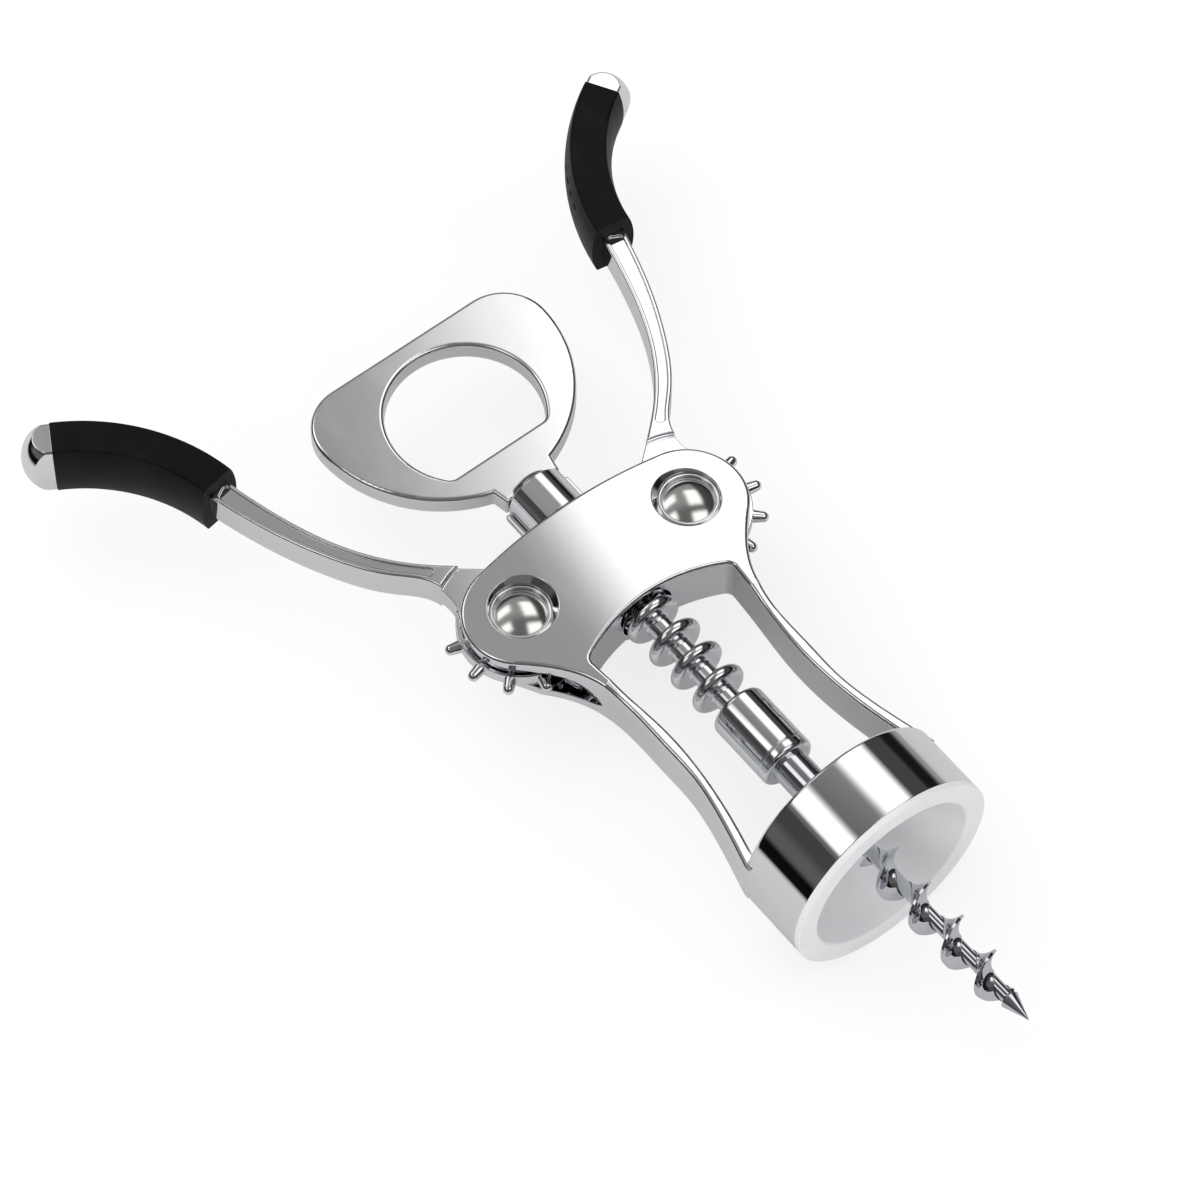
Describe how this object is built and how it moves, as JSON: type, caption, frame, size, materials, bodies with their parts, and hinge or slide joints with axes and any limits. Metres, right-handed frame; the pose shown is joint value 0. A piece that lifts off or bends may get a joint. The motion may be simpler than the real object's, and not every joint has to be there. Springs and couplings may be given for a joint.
{
  "type": "wing corkscrew",
  "caption": "Chromed wing corkscrew: geared levers with soft grips lift a ringed rack spindle and worm through a bell; opener ring on top.",
  "frame": {"origin": "centre of the bell's mouth, on the worm's axis", "axes": "+X to the tool's right, +Y along the worm's axis from the bell towards the opener handle, +Z out of the front face"},
  "size_m": [0.1318, 0.1926, 0.04],
  "materials": {
    "chrome_casting": "bright chrome plate on a zinc casting",
    "chrome_lever": "bright chrome plate on a zinc casting",
    "chrome_opener": "satin chrome face with polished bevels",
    "chrome_sleeve": "bright chrome plate on turned steel",
    "chrome_spindle": "bright chrome plate on turned steel",
    "chrome_cap": "bright chrome plate",
    "chrome_pin": "polished nickel and chrome plate",
    "worm_steel": "polished plated steel",
    "pin_steel": "plain spring steel",
    "black_grip": "fine-grained black soft-touch moulding",
    "white_plastic": "smooth satin white plastic",
    "washer_plastic": "natural nylon"
  },
  "bodies": {
    "frame": {"frame": "chrome_casting", "bell_liner": "white_plastic", "left_pivot_pin": "chrome_pin", "left_pin_cup": "chrome_pin", "left_rear_pin_cap": "chrome_pin", "right_pivot_pin": "chrome_pin", "right_pin_cup": "chrome_pin", "right_rear_pin_cap": "chrome_pin"},
    "sleeve": {"ferrule": "chrome_sleeve"},
    "spindle": {"rack_spindle": "chrome_spindle", "worm": "worm_steel", "worm_pin": "pin_steel", "opener_handle": "chrome_opener", "handle_pin": "pin_steel"},
    "left_lever": {"left_lever": "chrome_lever", "left_grip": "black_grip", "left_end_cap": "chrome_cap", "left_cap_stud": "pin_steel", "left_lever_washers": "washer_plastic"},
    "right_lever": {"right_lever": "chrome_lever", "right_grip": "black_grip", "right_end_cap": "chrome_cap", "right_cap_stud": "pin_steel", "right_lever_washers": "washer_plastic"}
  },
  "joints": [
    {"name": "spindle_lift", "type": "slide", "parent": "frame", "child": "sleeve", "axis": [0, 1, 0], "range_m": [0, 0.028]},
    {"name": "spindle_turn", "type": "hinge", "parent": "sleeve", "child": "spindle", "pos_m": [0, 0.09, 0], "axis": [0, 1, 0], "continuous": true},
    {"name": "left_lever_swing", "type": "hinge", "parent": "frame", "child": "left_lever", "pos_m": [-0.0182, 0.076, 0], "axis": [0, 0, 1], "range_deg": [0, 139.8]},
    {"name": "right_lever_swing", "type": "hinge", "parent": "frame", "child": "right_lever", "pos_m": [0.0182, 0.076, 0], "axis": [0, 0, -1], "range_deg": [0, 139.8]}
  ],
  "couplings": [
    {"joint": "left_lever_swing", "follows": "spindle_lift", "rad_per_m": 87.116},
    {"joint": "right_lever_swing", "follows": "spindle_lift", "rad_per_m": 87.116}
  ]
}
